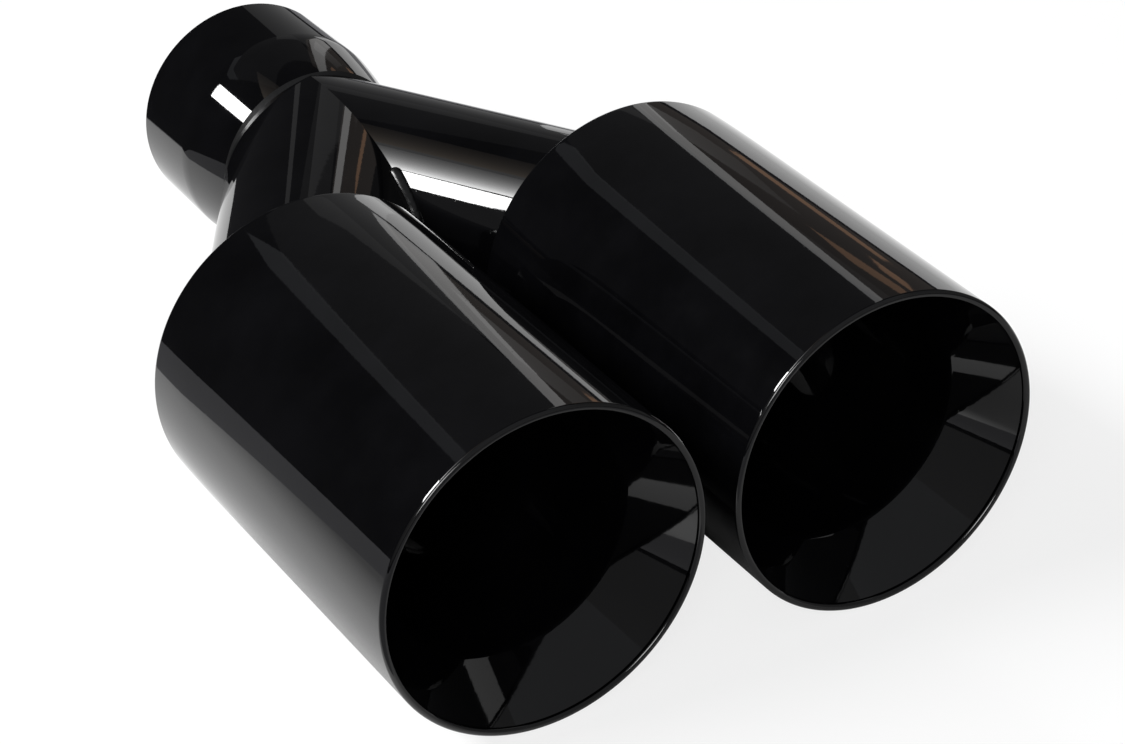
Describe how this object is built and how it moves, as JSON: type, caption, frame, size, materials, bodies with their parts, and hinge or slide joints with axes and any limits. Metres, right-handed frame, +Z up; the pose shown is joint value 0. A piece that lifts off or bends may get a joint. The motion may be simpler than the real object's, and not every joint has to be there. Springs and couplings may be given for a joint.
{
  "type": "dual exhaust tip",
  "caption": "Gloss-black Y-shaped exhaust tip: a slip-on inlet collar forks into branch pipes that end in wide double-wall outlets with rolled lips.",
  "frame": {"origin": "middle of the inlet mouth, on the inlet bore's axis", "axes": "+Y along the inlet bore, out of its mouth towards the car's exhaust pipe; -Y out of the outlets; +Z up; X across the pair of outlets"},
  "size_m": [0.1886, 0.2621, 0.09],
  "materials": {
    "gloss_black": "gloss black coat on steel",
    "weld_black": "gloss black coat over a rippled weld bead"
  },
  "bodies": {
    "root": {"inlet_collar": "gloss_black", "collar_weld": "weld_black", "crotch_weld": "weld_black", "branch_pipe_right": "gloss_black", "branch_pipe_left": "gloss_black", "outer_shell_right": "gloss_black", "outer_shell_left": "gloss_black", "inner_liner_right": "gloss_black", "inner_liner_left": "gloss_black", "rear_cap_right": "gloss_black", "rear_cap_left": "gloss_black", "cap_weld_right": "weld_black", "cap_weld_left": "weld_black"}
  },
  "joints": []
}
